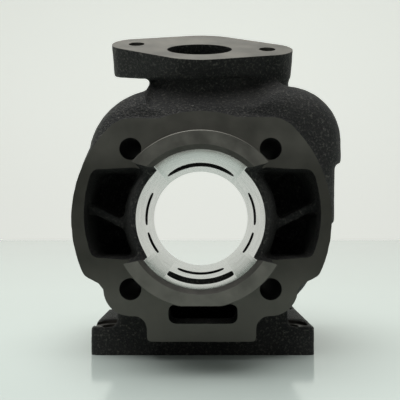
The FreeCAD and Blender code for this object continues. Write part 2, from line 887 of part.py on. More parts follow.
def tapered(low, high, distance):
    """Outline between two pairs of points, run on past the second pair."""
    return polygon([
        low[0], low[1], beyond(low[1], high[1], distance), beyond(low[0], high[0], distance),
    ])


# Exhaust duct from the port to the oval outlet in the tilted seat
port_half_width = dim("bore_radius") * math.sin(math.radians(dim("exhaust_port_half_angle")))
duct_start = dim("exhaust_duct_start")
outlet_half_width = dim("exhaust_outlet_width") / 2
outlet_half_height = dim("exhaust_outlet_height") / 2
outlet_level = dim("exhaust_seat_lift")
seat_run = V(0, math.cos(math.radians(dim("exhaust_tilt"))), math.sin(math.radians(dim("exhaust_tilt"))))
outlet_edges = []
for across in (-1, 1):
    edge = tilt.Base + seat_run * (dim("exhaust_outlet_shift") + across * outlet_half_height)
    outlet_edges.append((edge.y, edge.z))
exhaust_duct = crossed_duct(
    "exhaust_duct",
    tapered(
        [(-port_half_width, duct_start), (port_half_width, duct_start)],
        [(-outlet_half_width, outlet_level), (outlet_half_width, outlet_level)],
        2 * outlet_half_height,
    ),
    tapered(
        [(dim("exhaust_port_floor"), duct_start), (dim("exhaust_port_roof"), duct_start)],
        outlet_edges,
        outlet_half_height,
    ),
    "dims.deck_height",
    "2 * dims.bore_radius",
    dim("exhaust_duct_corner"),
)

# Intake duct, wide at the foot and narrow under the bore
duct_half_width = dim("foot_bolt_half_pitch") - dim("duct_wall_x")
duct_front = dim("foot_front") + dim("duct_front_wall")
duct_back = dim("foot_front") + dim("foot_length") - dim("duct_back_wall")
roof_half_width = dim("duct_roof_half_width")
duct_roof = -dim("duct_roof_drop")
duct_mouth = -dim("foot_drop")
intake_duct = crossed_duct(
    "intake_duct",
    tapered(
        [(-roof_half_width, duct_roof), (roof_half_width, duct_roof)],
        [(-duct_half_width, duct_mouth), (duct_half_width, duct_mouth)],
        OVERRUN,
    ),
    tapered(
        [(dim("duct_roof_front"), duct_roof), (dim("duct_roof_back"), duct_roof)],
        [(duct_front, duct_mouth), (duct_back, duct_mouth)],
        OVERRUN,
    ),
    "dims.deck_height",
    "4 * dims.foot_bolt_half_pitch",
    dim("duct_corner"),
)
base_window = pad_along_bore("base_window", rounded_outline([
    (-dim("base_window_left"), -dim("base_window_bottom"), dim("base_window_corner")),
    (dim("base_window_right"), -dim("base_window_bottom"), dim("base_window_corner")),
    (dim("base_window_right"), -dim("base_window_top"), 0),
    (-dim("base_window_left"), -dim("base_window_top"), 0),
]), f"-{OVERRUN}", "dims.base_window_reach")

# Water space, open at the head face, between the sleeve and the drum
moat = pad_along_bore("water_space_blank", [
    Part.Circle(V(*jacket_centre, 0), V(0, 0, 1), dim("jacket_radius") - dim("jacket_wall")),
    Part.Circle(V(0, 0, 0), V(0, 0, 1), dim("sleeve_radius")),
], "dims.deck_height - dims.water_depth", f"dims.water_depth + {OVERRUN}")
stud_bosses = []
for across in (-1, 1):
    for up in (-1, 1):
        stud_bosses.append(cylinder_along_y(
            f"stud_boss_{len(stud_bosses) + 1}",
            "dims.stud_boss_radius",
            "0",
            f"dims.deck_height + 2 * {OVERRUN}",
            x=f"{across} * dims.stud_half_pitch",
            z=f"{up} * dims.stud_half_pitch",
        ))
water_space = cut("water_space", moat, fuse("stud_bosses", stud_bosses))

# Coolant inlet through the side of the bulge into the water space
coolant_hole = doc.addObject("Part::Cylinder", "coolant_hole")
coolant_hole.Placement = FreeCAD.Placement(V(0, 0, 0), FreeCAD.Rotation(V(0, 1, 0), 90))
bind(
    coolant_hole,
    Radius="dims.coolant_hole_radius",
    Height=f"dims.bulge_reach - dims.stud_half_pitch - dims.stud_boss_radius + {OVERRUN}",
    Placement__Base__x=f"dims.stud_half_pitch + dims.stud_boss_radius + {OVERLAP} / 2",
    Placement__Base__y="dims.coolant_hole_depth",
    Placement__Base__z="dims.coolant_hole_lift",
)

# Bolt holes of the exhaust flange and of the foot, and the foot's spot faces
bolt_holes = []
for name, (x, y) in (("left", left_ear), ("right", right_ear)):
    hole = doc.addObject("Part::Cylinder", f"exhaust_bolt_hole_{name}")
    depth = dim("exhaust_flange_thickness") + 4 * OVERRUN
    hole.Placement = tilt * FreeCAD.Placement(V(x, y, -depth), FreeCAD.Rotation())
    bind(hole, Radius="dims.exhaust_bolt_radius")
    hole.Height = depth + OVERRUN
    bolt_holes.append(hole)
foot_middle = "dims.foot_front + dims.foot_length / 2"
for across in (-1, 1):
    for along in (-1, 1):
        place = {
            "Placement__Base__x": f"{across} * dims.foot_bolt_half_pitch",
            "Placement__Base__y": f"{foot_middle} + {along} * dims.foot_bolt_spacing / 2",
        }
        hole = doc.addObject("Part::Cylinder", f"foot_bolt_hole_{len(bolt_holes) - 1}")
        bind(hole, Radius="dims.foot_bolt_radius", **place)
        bind(hole, Height=f"dims.foot_thickness + 2 * {OVERRUN}")
        bind(hole, Placement__Base__z=f"-dims.foot_drop - {OVERRUN}")
        face = doc.addObject("Part::Cylinder", f"spot_face_{len(bolt_holes) - 1}")
        bind(face, Radius="dims.spot_face_radius", **place)
        bind(face, Height="dims.spot_face_sink + dims.spot_face_clearance")
        bind(
            face,
            Placement__Base__z="-dims.foot_drop + dims.foot_thickness - dims.spot_face_sink",
        )
        bolt_holes += [hole, face]

spaces = fuse("spaces", [
    bore, mouth, deck_edge, cutaway, spigot_flat, *stud_holes, *transfers, boost, skirt_window,
    exhaust_duct, intake_duct, base_window, water_space, coolant_hole, *bolt_holes,
])
barrel = cut("barrel", casting, spaces)
barrel.Label = "barrel"
doc.recompute()

for obj in doc.Objects:
    if "Invalid" in obj.State or "Error" in obj.State:
        raise RuntimeError(f"{obj.Name} failed: {obj.State}")
if barrel.Shape.isNull() or not barrel.Shape.isValid() or len(barrel.Shape.Solids) != 1:
    raise RuntimeError("barrel is not one valid solid")

os.makedirs("parts", exist_ok=True)
barrel.Shape.exportStep("parts/barrel.step")
print("volume in cm3:", round(barrel.Shape.Volume / 1000, 2))
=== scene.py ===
from math import cos, pi, radians, sin, tan

import bpy
import numpy as np
from mathutils import Matrix, Vector, noise


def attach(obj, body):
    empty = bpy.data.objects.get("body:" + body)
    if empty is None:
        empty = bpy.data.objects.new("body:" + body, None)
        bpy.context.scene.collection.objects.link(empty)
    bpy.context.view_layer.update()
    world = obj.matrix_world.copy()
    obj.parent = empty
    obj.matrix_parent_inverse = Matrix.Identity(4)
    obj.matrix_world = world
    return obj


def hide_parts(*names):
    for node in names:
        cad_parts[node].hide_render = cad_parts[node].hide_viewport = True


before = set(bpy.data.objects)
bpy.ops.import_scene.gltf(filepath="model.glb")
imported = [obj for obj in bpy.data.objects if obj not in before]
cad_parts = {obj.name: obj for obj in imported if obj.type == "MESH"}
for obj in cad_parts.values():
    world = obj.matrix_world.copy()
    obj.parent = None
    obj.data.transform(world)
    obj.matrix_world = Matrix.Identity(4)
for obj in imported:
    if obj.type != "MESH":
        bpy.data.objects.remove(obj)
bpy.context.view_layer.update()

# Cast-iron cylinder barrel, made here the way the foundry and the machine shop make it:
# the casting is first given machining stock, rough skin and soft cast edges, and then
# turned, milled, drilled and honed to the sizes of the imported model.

MM = 0.001

# Sizes of the machined faces, in millimetres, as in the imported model.
BORE_RADIUS = 20.15
SPIGOT_RADIUS = 25.4
SPIGOT_LENGTH = 20.0
SPIGOT_BEVEL = 0.2
SPIGOT_FLAT = 24.6
DECK_HEIGHT = 60.0
MOUTH_CHAMFER = 1.2
MOUTH_CHAMFER_LENGTH = 2.4
DECK_CHAMFER = 0.5
STUD_PITCH = 22.5
STUD_HOLE_RADIUS = 3.55
FLANGE_SEAT = Vector((0.0, 20.0, 61.0))
FLANGE_TILT = radians(30.0)
FLANGE_TURN = radians(-10.0)
FLANGE_SHIFT = 2.6
FLANGE_BOLT_PITCH = 24.0
FLANGE_BOLT_RADIUS = 2.9
FLANGE_BOLT_DEPTH = 16.2
OUTLET_CENTRE = (-0.4, -1.6)
OUTLET_HALF_WIDTH = 11.5
OUTLET_HALF_HEIGHT = 7.8
OUTLET_LIP = 5.0

# Neck under the flange, as sections in the flange's frame: level, and growth of the section.
NECK_LEVELS = (-26.5, -13.8, -6.1)
NECK_GROWTH = (1.7, -0.3, -1.8)
NECK_MIDDLE = Vector((0.0, 2.6))
NECK_MIDDLE_RADIUS = 19.4
NECK_EAR = Vector((23.64, -1.57))
NECK_EAR_RADIUS = 9.1
FAR_EAR = Vector((-23.64, 6.77))

# The flange's underside: height at the base face, and tilt.
UNDERSIDE_LIFT = 43.4
UNDERSIDE_TILT = radians(18.0)

# Where the shoulders end in front of the neck: across the barrel, and height.
SHOULDER_ACROSS = (-20.0, -17.0, 19.0, 25.4, 30.0, 31.0)
SHOULDER_HEIGHT = (48.0, 36.2, 37.5, 42.4, 46.6, 60.0)
SHOULDER_BLEND = 2.5
MOST_DRAWN_BACK = 20.0
NECK_STEPS = 25

# Foot, its bolt holes, and the coolant hole.
FOOT_DROP = -45.5
FOOT_TOP = -36.0
FOOT_BOLT_X = 31.0
FOOT_BOLT_DEPTHS = (15.0, 47.0)
FOOT_BOLT_RADIUS = 3.2
SPOT_FACE_RADIUS = 6.0
SPOT_FACE_FLOOR = -37.35
COOLANT_DEPTH = 49.0
COOLANT_LIFT = 24.4
COOLANT_RADIUS = 5.0
COOLANT_START = 29.9

# Foundry allowances.
STOCK = 1.5
CORE_STOCK = 1.3
GRAIN_OF_SKIN = 0.83
SMOOTHING = 0.5
SMOOTHING_ROUNDS = 3
WAVE_LENGTH = 14.0
WAVE_HEIGHT = 0.10
KNOB_SIZE = 2.6
KNOB_HEIGHT = 0.09
SKIN_DROP = 0.08

# How far a point may lie from a wall, a flat face or the exhaust seat and still be on it.
ON_WALL = 0.03
ON_FACE = 0.01
ON_SEAT = 0.02
MOUTH_MARGIN = 0.5
PLUG_MARGIN = 3

# The cutters' overrun past the casting, and the flats of their rounds.
OVERRUN = 8
LEAD = 4
CUTTER_REACH = 90.0
TURNING_STEPS = 256
DRILL_STEPS = 40
SPOT_FACE_STEPS = 48
OVAL_STEPS = 72


# Colours and nodes

# A noise pattern's values lie mostly between these.
CLOUD_START = 0.3
CLOUD_END = 0.7
EASED = {"interpolation_type": "SMOOTHSTEP"}
MIXED = {"data_type": "RGBA"}

# Distance from the bore's level, in mm, at which the painted reflection on the milled face starts
# and ends to lighten it.
PAINTED_SHEEN_START = 12
PAINTED_SHEEN_FULL = 27


def hex_colour(code):
    """Linear colour from an sRGB hex code."""
    channels = [int(code[i:i + 2], 16) / 255 for i in (1, 3, 5)]
    linear = [c / 12.92 if c <= 0.04045 else ((c + 0.055) / 1.055) ** 2.4 for c in channels]
    return (*linear, 1.0)


def add_node(tree, kind, settings=None, **inputs):
    """Add a node, set its properties, and set or link its inputs."""
    node = tree.nodes.new(kind)
    for name, value in (settings or {}).items():
        setattr(node, name, value)
    for name, value in inputs.items():
        key = int(name[1:]) if name[0] == "i" and name[1:].isdigit() else name.replace("_", " ")
        socket = node.inputs[key]
        if isinstance(value, bpy.types.NodeSocket):
            tree.links.new(value, socket)
        else:
            socket.default_value = value
    return node


def new_material(name):
    """A material with an empty tree, its shader and its output."""
    material = bpy.data.materials.new(name)
    material.use_nodes = True
    tree = material.node_tree
    tree.nodes.clear()
    shader = add_node(tree, "ShaderNodeBsdfPrincipled")
    add_node(tree, "ShaderNodeOutputMaterial", Surface=shader.outputs["BSDF"])
    return material, tree, shader


def per_metre(size_mm):
    """Noise scale whose grains are size_mm across, in object coordinates in metres."""
    return 1000.0 / size_mm


def mottle(tree, pattern, start, end, dark, light):
    """Colour that goes from dark to light while the pattern goes from start to end."""
    share = add_node(tree, "ShaderNodeMapRange", Value=pattern, From_Min=start, From_Max=end)
    return add_node(
        tree, "ShaderNodeMix", MIXED, i0=share.outputs["Result"],
        i6=hex_colour(dark), i7=hex_colour(light),
    ).outputs[2]


# Materials

def sand_cast_iron():
    """Grey iron as it left the sand: charcoal skin, rough grain, and pale specks on the grain's
    peaks, partly blasted iron and partly painted glints of light.

    Foundry sand is about 0.3 mm across. It is drawn as 0.8 and 0.4 mm, so that it shows.
    """
    material, tree, shader = new_material("sand_cast_grey_iron")
    place = add_node(tree, "ShaderNodeTexCoord").outputs["Object"]
    patches = add_node(
        tree, "ShaderNodeTexNoise", Vector=place, Scale=per_metre(16.0), Detail=3.0, Roughness=0.5,
    ).outputs["Fac"]
    sand = add_node(
        tree, "ShaderNodeTexNoise", Vector=place, Scale=per_metre(0.8), Detail=4.0, Roughness=0.7,
    ).outputs["Fac"]
    dust = add_node(
        tree, "ShaderNodeTexNoise", Vector=place, Scale=per_metre(0.4), Detail=2.0, Roughness=0.5,
    ).outputs["Fac"]
    skin = mottle(tree, patches, 0.35, 0.65, "#1e1f1f", "#2c2c2b")
    # Pale specks where the sand grain stands highest: partly the blasted iron's own colour, partly
    # painted glints of light on the grain.
    specks_and_glints = add_node(
        tree, "ShaderNodeMapRange", EASED, Value=sand, From_Min=0.5, From_Max=0.72,
    ).outputs["Result"]
    colour = add_node(
        tree, "ShaderNodeMix", MIXED, i0=specks_and_glints, i6=skin, i7=hex_colour("#6c6a64"),
    ).outputs[2]
    roughness = add_node(
        tree, "ShaderNodeMapRange", EASED, Value=dust, From_Min=CLOUD_START, From_Max=CLOUD_END,
        To_Min=0.48, To_Max=0.68,
    ).outputs["Result"]
    sand_relief = add_node(
        tree, "ShaderNodeBump", Height=sand, Distance=0.85 * MM, Strength=1.0,
    ).outputs["Normal"]
    relief = add_node(
        tree, "ShaderNodeBump", Height=dust, Distance=0.25 * MM, Strength=1.0, Normal=sand_relief,
    ).outputs["Normal"]
    tree.links.new(colour, shader.inputs["Base Color"])
    tree.links.new(roughness, shader.inputs["Roughness"])
    tree.links.new(relief, shader.inputs["Normal"])
    shader.inputs["Metallic"].default_value = 0.35
    return material


def cut_iron(name, cloud_mm, detail, colours, metallic, roughness, pits=None):
    """Iron cut by a tool: clouds of cloud_mm between two colours, and fine pits.

    roughness is one value, or its range over the clouds. pits is their size and depth in mm;
    real pits are finer, and these are drawn as coarse as they need to show.
    colours may hold two more: the pair that the faces have further from the bore's level, a painted
    reflection that lightens them above and below it.
    """
    material, tree, shader = new_material(name)
    place = add_node(tree, "ShaderNodeTexCoord").outputs["Object"]
    cloud = add_node(
        tree, "ShaderNodeTexNoise", Vector=place, Scale=per_metre(cloud_mm), Detail=detail,
        Roughness=0.5,
    ).outputs["Fac"]
    colour = mottle(tree, cloud, CLOUD_START, CLOUD_END, *colours[:2])
    # Painted reflection: a lighter colour pair, blended in with the distance above or below the
    # bore's level.
    if len(colours) > 2:
        height = add_node(tree, "ShaderNodeSeparateXYZ", Vector=place).outputs["Z"]
        rise = add_node(tree, "ShaderNodeMath", {"operation": "ABSOLUTE"}, i0=height).outputs[0]
        painted_sheen_colour = mottle(tree, cloud, CLOUD_START, CLOUD_END, *colours[2:])
        share = add_node(
            tree, "ShaderNodeMapRange", EASED, Value=rise, From_Min=PAINTED_SHEEN_START * MM,
            From_Max=PAINTED_SHEEN_FULL * MM,
        ).outputs["Result"]
        colour = add_node(
            tree, "ShaderNodeMix", MIXED, i0=share, i6=colour, i7=painted_sheen_colour,
        ).outputs[2]
    tree.links.new(colour, shader.inputs["Base Color"])
    shader.inputs["Metallic"].default_value = metallic
    if isinstance(roughness, tuple):
        smoothest, roughest = roughness
        spread = add_node(
            tree, "ShaderNodeMapRange", EASED, Value=cloud, From_Min=CLOUD_START,
            From_Max=CLOUD_END, To_Min=smoothest, To_Max=roughest,
        ).outputs["Result"]
        tree.links.new(spread, shader.inputs["Roughness"])
    else:
        shader.inputs["Roughness"].default_value = roughness
    if pits:
        pattern = add_node(
            tree, "ShaderNodeTexNoise", Vector=place, Scale=per_metre(pits[0]), Detail=2.0,
            Roughness=0.5,
        ).outputs["Fac"]
        relief = add_node(
            tree, "ShaderNodeBump", Height=pattern, Distance=pits[1] * MM, Strength=1.0,
        ).outputs["Normal"]
        tree.links.new(relief, shader.inputs["Normal"])
    return material


FINISHES = [
    sand_cast_iron(),
    # Face-milled gasket face: satin brown-grey, darker at the bore's level than at both ends, where
    # a painted reflection lightens it.
    cut_iron(
        "face_milled_iron", 9.0, 4.0, ("#474641", "#53514c", "#5b5a55", "#6c6a64"), 0.9,
        (0.42, 0.55), (0.5, 0.03),
    ),
    # Turned spigot end: a lighter satin ring.
    cut_iron("turned_iron", 5.0, 4.0, ("#696762", "#827f79"), 0.9, (0.36, 0.5), (0.4, 0.03)),
    # Honed bore: bright and nearly a mirror, with soft clouds.
    cut_iron("honed_iron", 7.0, 4.0, ("#a2a3a0", "#cfd0ce"), 1.0, (0.16, 0.3)),
    # Surface-ground exhaust seat: an even, pale, warm grey.
    cut_iron("ground_iron", 8.0, 4.0, ("#57544f", "#716d66"), 0.9, 0.42, (0.5, 0.02)),
    # Drilled holes and spot faces: bare grey iron.
    cut_iron("drilled_iron", 3.0, 3.0, ("#5f5c58", "#7d7a75"), 0.9, 0.45),
    # Bore's mouth chamfer: a dull band, near the tone of the milled face.
    cut_iron("chamfered_iron", 4.0, 3.0, ("#4c4a46", "#5f5d58"), 0.4, 0.55),
    # Deep stud holes: near-black iron, a painted shade that stands in for the dark inside the deep
    # holes.
    cut_iron("stud_hole_painted_shade", 2.0, 3.0, ("#0e0e0d", "#1b1a18"), 0.1, 0.8),
]
CAST, MILLED, TURNED, HONED, GROUND, DRILLED, CHAMFERED, STUD_HOLE_SHADE = range(len(FINISHES))


# Frame of the flange

def seat_frame():
    """Matrix whose Z is the exhaust seat's normal, with X across the barrel."""
    return Matrix.Translation(FLANGE_SEAT) @ Matrix.Rotation(FLANGE_TILT, 4, "X")


def flange_frame():
    """The seat's frame, moved and turned so that X runs through the two bolts."""
    turn = Matrix.Rotation(FLANGE_TURN, 4, "Z")
    return seat_frame() @ Matrix.Translation((0, FLANGE_SHIFT, 0)) @ turn


# The casting

def draw_in(points, to_axis, radius, new_radius, where=None):
    """Close the wall of a round hole; to_axis gives each point's offset from the hole's axis."""
    reach = np.linalg.norm(to_axis, axis=1)
    wall = np.abs(reach - radius) < ON_WALL
    if where is not None:
        wall &= where
    scale = (new_radius / radius - 1.0) * wall
    points += to_axis * scale[:, None]


def leave_stock(points):
    """Move every face that gets machined outwards, as the pattern does."""
    x, y, z = points.T
    reach = np.hypot(x, z)
    across = np.stack([x, 0 * y, z], 1)
    at_mouth = y < MOUTH_MARGIN - SPIGOT_LENGTH + MOUTH_CHAMFER_LENGTH
    at_deck = y > DECK_HEIGHT - DECK_CHAMFER - ON_WALL
    bore_wall = np.abs(reach - BORE_RADIUS) < ON_WALL
    bore_wall |= (reach < BORE_RADIUS + MOUTH_CHAMFER + ON_WALL) & at_mouth
    bore_wall |= (reach < BORE_RADIUS + DECK_CHAMFER + ON_WALL) & at_deck
    spigot_wall = (np.abs(reach - SPIGOT_RADIUS) < ON_WALL) & (y < ON_FACE)
    base = (np.abs(y) < ON_FACE) & (reach > SPIGOT_RADIUS - ON_WALL)
    spigot_end = y < ON_FACE - SPIGOT_LENGTH
    deck = y > DECK_HEIGHT - ON_FACE
    foot = z < FOOT_DROP + ON_FACE

    frame_of_flange = np.array(flange_frame().inverted())
    on_flange = points @ frame_of_flange[:3, :3].T + frame_of_flange[:3, 3]
    seat = np.abs(on_flange[:, 2]) < ON_SEAT
    normal = np.array(flange_frame().to_3x3())[:, 2]

    moved = points.copy()
    for wall, radius in ((bore_wall, BORE_RADIUS - STOCK), (spigot_wall, SPIGOT_RADIUS + STOCK)):
        moved += across * ((radius / np.maximum(reach, 1) - 1) * wall)[:, None]
    for side in (-1, 1):
        for level in (-1, 1):
            off = np.stack([x - side * STUD_PITCH, 0 * y, z - level * STUD_PITCH], 1)
            draw_in(moved, off, STUD_HOLE_RADIUS, STUD_HOLE_RADIUS - CORE_STOCK)
        for depth in FOOT_BOLT_DEPTHS:
            off = np.stack([x - side * FOOT_BOLT_X, y - depth, 0 * z], 1)
            draw_in(moved, off, FOOT_BOLT_RADIUS, FOOT_BOLT_RADIUS - CORE_STOCK, z < FOOT_TOP + 0.1)
        off = on_flange - np.array([side * FLANGE_BOLT_PITCH, 0, 0])
        off[:, 2] = 0
        back = off @ np.array(flange_frame().to_3x3()).T
        near = on_flange[:, 2] > -0.1 - FLANGE_BOLT_DEPTH
        draw_in(moved, back, FLANGE_BOLT_RADIUS, FLANGE_BOLT_RADIUS - CORE_STOCK, near)
    off = np.stack([0 * x, y - COOLANT_DEPTH, z - COOLANT_LIFT], 1)
    draw_in(moved, off, COOLANT_RADIUS, COOLANT_RADIUS - CORE_STOCK, x > 0)

    moved[:, 1] += -STOCK * (base | spigot_end) + STOCK * deck
    moved[:, 2] -= STOCK * foot
    moved += normal * (STOCK * seat)[:, None]
    return moved


def neck_front(across, growth, ears):
    """Depth of a section's front in the seat's frame, at points across it."""
    front = np.full(len(across), np.inf)
    for ear in ears:
        for share in np.linspace(0.0, 1.0, NECK_STEPS):
            centre = NECK_MIDDLE.lerp(ear, share)
            radius = NECK_MIDDLE_RADIUS + (NECK_EAR_RADIUS - NECK_MIDDLE_RADIUS) * share + growth
            inside = radius ** 2 - (across - centre.x) ** 2
            reach = np.where(inside > 0, centre.y - np.sqrt(np.maximum(inside, 0)), np.inf)
            front = np.minimum(front, reach)
    return front


def clear_neck(points):
    """Draw the shoulders back to the front of the neck and flange, where they stand before it."""
    inward = np.array(seat_frame().inverted())
    on_seat = points @ inward[:3, :3].T + inward[:3, 3]
    growth = np.interp(on_seat[:, 2], NECK_LEVELS, NECK_GROWTH)
    neck = neck_front(on_seat[:, 0], growth, (NECK_EAR,))
    flange = neck_front(on_seat[:, 0], 0.0, (NECK_EAR, FAR_EAR))
    in_flange = points[:, 2] > UNDERSIDE_LIFT + points[:, 1] * tan(UNDERSIDE_TILT)
    front = np.where(in_flange, flange, neck)
    edge = np.interp(points[:, 0], SHOULDER_ACROSS, SHOULDER_HEIGHT)
    share = np.clip((points[:, 2] - edge) / SHOULDER_BLEND, 0.0, 1.0)
    gap = np.where(np.isfinite(front), front - on_seat[:, 1], 0.0)
    gap = np.clip(gap, 0.0, MOST_DRAWN_BACK) * share
    back = np.array(seat_frame().to_3x3())[:, 1]
    return points + back * gap[:, None]


def mesh_points(mesh):
    """Vertices of a mesh, in millimetres."""
    flat = np.empty(len(mesh.vertices) * 3)
    mesh.vertices.foreach_get("co", flat)
    return flat.reshape(-1, 3) / MM


def place_points(mesh, points):
    """Write millimetre points back to a mesh."""
    mesh.vertices.foreach_set("co", (points * MM).ravel())
    mesh.update()


def new_object(name, data):
    """An object in the scene, at the origin."""
    made = bpy.data.objects.new(name, data)
    bpy.context.scene.collection.objects.link(made)
    return made


def settle(made):
    """Replace an object's mesh by what its modifiers make of it."""
    graph = bpy.context.evaluated_depsgraph_get()
    mesh = bpy.data.meshes.new_from_object(made.evaluated_get(graph))
    made.modifiers.clear()
    made.data = mesh
    return mesh


def rough_skin(mesh):
    """Cast surface: slow waves of the mould and the knobbly print of coarse sand."""
    points = mesh_points(mesh)
    flat = np.empty(len(mesh.vertices) * 3)
    mesh.vertices.foreach_get("normal", flat)
    normals = flat.reshape(-1, 3)
    height = np.empty(len(points))
    for i, point in enumerate(points):
        spot = Vector(point)
        waves = WAVE_HEIGHT * noise.noise(spot / WAVE_LENGTH)
        knobs = KNOB_HEIGHT * noise.noise(spot / KNOB_SIZE)
        height[i] = waves + knobs - SKIN_DROP
    place_points(mesh, points + normals * height[:, None])


def remesh(made):
    """Close an object into one even skin."""
    skin = made.modifiers.new("skin", "REMESH")
    skin.mode = "VOXEL"
    skin.voxel_size = GRAIN_OF_SKIN * MM


def with_outlet_plug(mesh):
    """The mesh with the duct's mouth closed, for the oval that is cut in it afterwards."""
    x, y = OUTLET_CENTRE
    width = OUTLET_HALF_WIDTH + PLUG_MARGIN
    height = OUTLET_HALF_HEIGHT + PLUG_MARGIN
    low = (x - width, y - height, -OUTLET_LIP)
    high = (x + width, y + height, STOCK / 2)
    points, faces, _ = slab(seat_frame(), low, high, CAST)
    old = [vertex.co for vertex in mesh.vertices]
    old_faces = [tuple(polygon.vertices) for polygon in mesh.polygons]
    plugged = bpy.data.meshes.new("plugged_casting")
    plugged.from_pydata(
        old + points, [], old_faces + [[len(old) + i for i in face] for face in faces]
    )
    return plugged


def sand_casting(node):
    """The rough casting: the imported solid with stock, soft edges and sand skin."""
    mesh = node.data.copy()
    mesh.materials.clear()
    place_points(mesh, leave_stock(mesh_points(mesh)))
    casting = new_object("barrel_casting", with_outlet_plug(mesh))
    remesh(casting)
    mesh = settle(casting)
    place_points(mesh, clear_neck(mesh_points(mesh)))
    remesh(casting)
    radii = casting.modifiers.new("cast_radii", "SMOOTH")
    radii.factor = SMOOTHING
    radii.iterations = SMOOTHING_ROUNDS
    rough_skin(settle(casting))
    return casting


# Machining

def lathe(frame_of_axis, profile, steps):
    """Closed cutter turned about an axis.

    profile lists (radius, height, finish) from the axis back to the axis; finish is the
    slot of the face that starts at that point.
    """
    points, rings = [], []
    for radius, height, _ in profile:
        if radius == 0:
            rings.append([len(points)] * steps)
            points.append(frame_of_axis @ Vector((0, 0, height)))
            continue
        rings.append(list(range(len(points), len(points) + steps)))
        for step in range(steps):
            angle = 2 * pi * step / steps
            corner = Vector((radius * cos(angle), radius * sin(angle), height))
            points.append(frame_of_axis @ corner)
    faces, slots = [], []
    for (_, _, finish), lower, upper in zip(profile, rings, rings[1:]):
        for step in range(steps):
            after = (step + 1) % steps
            corners = [lower[step], lower[after], upper[after], upper[step]]
            face = list(dict.fromkeys(corners))
            if len(face) > 2:
                faces.append(face)
                slots.append(finish)
    return [p * MM for p in points], faces, slots


def cutter(name, shapes):
    """One hidden object from several closed, separate cutter shapes."""
    points, faces, slots = [], [], []
    for shape_points, shape_faces, shape_slots in shapes:
        first = len(points)
        points += shape_points
        faces += [[first + i for i in face] for face in shape_faces]
        slots += shape_slots
    mesh = bpy.data.meshes.new(name)
    mesh.from_pydata(points, [], faces)
    for finish in FINISHES:
        mesh.materials.append(finish)
    mesh.polygons.foreach_set("material_index", slots)
    mesh.update()
    return new_object(name, mesh)


def machine(casting, tool):
    """Take a cutter away from the casting; the cut takes the cutter's finish."""
    cut = casting.modifiers.new(tool.name, "BOOLEAN")
    cut.operation = "DIFFERENCE"
    cut.solver = "MANIFOLD"
    cut.material_mode = "TRANSFER"
    cut.object = tool
    settle(casting)
    bpy.data.objects.remove(tool)


def along(start, direction):
    """Matrix whose Z runs from start along direction."""
    turn = Vector(direction).to_track_quat("Z", "Y").to_matrix().to_4x4()
    return Matrix.Translation(Vector(start)) @ turn


def turning_cutter():
    """Everything turned about the bore: base face, spigot, bore mouth, bore and deck."""
    end = -SPIGOT_LENGTH
    profile = [
        (0, end - OVERRUN, MILLED),
        (CUTTER_REACH, end - OVERRUN, MILLED),
        (CUTTER_REACH, 0, MILLED),
        (SPIGOT_RADIUS, 0, TURNED),
        (SPIGOT_RADIUS, end + SPIGOT_BEVEL, MILLED),
        (SPIGOT_RADIUS - SPIGOT_BEVEL, end, TURNED),
        (BORE_RADIUS + MOUTH_CHAMFER, end, CHAMFERED),
        (BORE_RADIUS, end + MOUTH_CHAMFER_LENGTH, HONED),
        (BORE_RADIUS, DECK_HEIGHT - DECK_CHAMFER, TURNED),
        (BORE_RADIUS + DECK_CHAMFER, DECK_HEIGHT, MILLED),
        (CUTTER_REACH, DECK_HEIGHT, MILLED),
        (CUTTER_REACH, DECK_HEIGHT + OVERRUN, MILLED),
        (0, DECK_HEIGHT + OVERRUN, MILLED),
    ]
    return cutter("turning", [lathe(along((0, 0, 0), (0, 1, 0)), profile, TURNING_STEPS)])


def drill(start, direction, radius, length, finish=DRILLED):
    """A drill's sweep from start along direction."""
    profile = [(0, 0, finish), (radius, 0, finish), (radius, length, finish), (0, length, finish)]
    return lathe(along(start, direction), profile, DRILL_STEPS)


def slab(frame_of_slab, low, high, finish):
    """A block cutter between two corners of its own frame."""
    points = [
        frame_of_slab @ Vector((x, y, z)) * MM
        for x in (low[0], high[0]) for y in (low[1], high[1]) for z in (low[2], high[2])
    ]
    faces = [(0, 1, 3, 2), (4, 6, 7, 5), (0, 4, 5, 1), (2, 3, 7, 6), (0, 2, 6, 4), (1, 5, 7, 3)]
    return points, faces, [finish] * 6


def oval_cutter():
    """Oval mouth of the exhaust duct, left as cast."""
    place = seat_frame() @ Matrix.Translation((*OUTLET_CENTRE, -OUTLET_LIP - 2))
    stretch = Matrix.Diagonal((OUTLET_HALF_WIDTH, OUTLET_HALF_HEIGHT, 1, 1))
    profile = [(0, 0, CAST), (1, 0, CAST), (1, OUTLET_LIP + 4, CAST), (0, OUTLET_LIP + 4, CAST)]
    return cutter("outlet", [lathe(place @ stretch, profile, OVAL_STEPS)])


def facing_cutter():
    """The flats: exhaust seat, underside of the foot, and the spigot's side at the window."""
    exhaust = slab(flange_frame(), (-60, -60, 0), (60, 60, 10), GROUND)
    foot = slab(Matrix(), (-60, -5, FOOT_DROP - OVERRUN), (60, 80, FOOT_DROP), MILLED)
    window_side = slab(
        Matrix(), (-15, -3 - SPIGOT_LENGTH, -5 - SPIGOT_FLAT), (15, 0, -SPIGOT_FLAT), MILLED
    )
    return cutter("facing", [exhaust, foot, window_side])


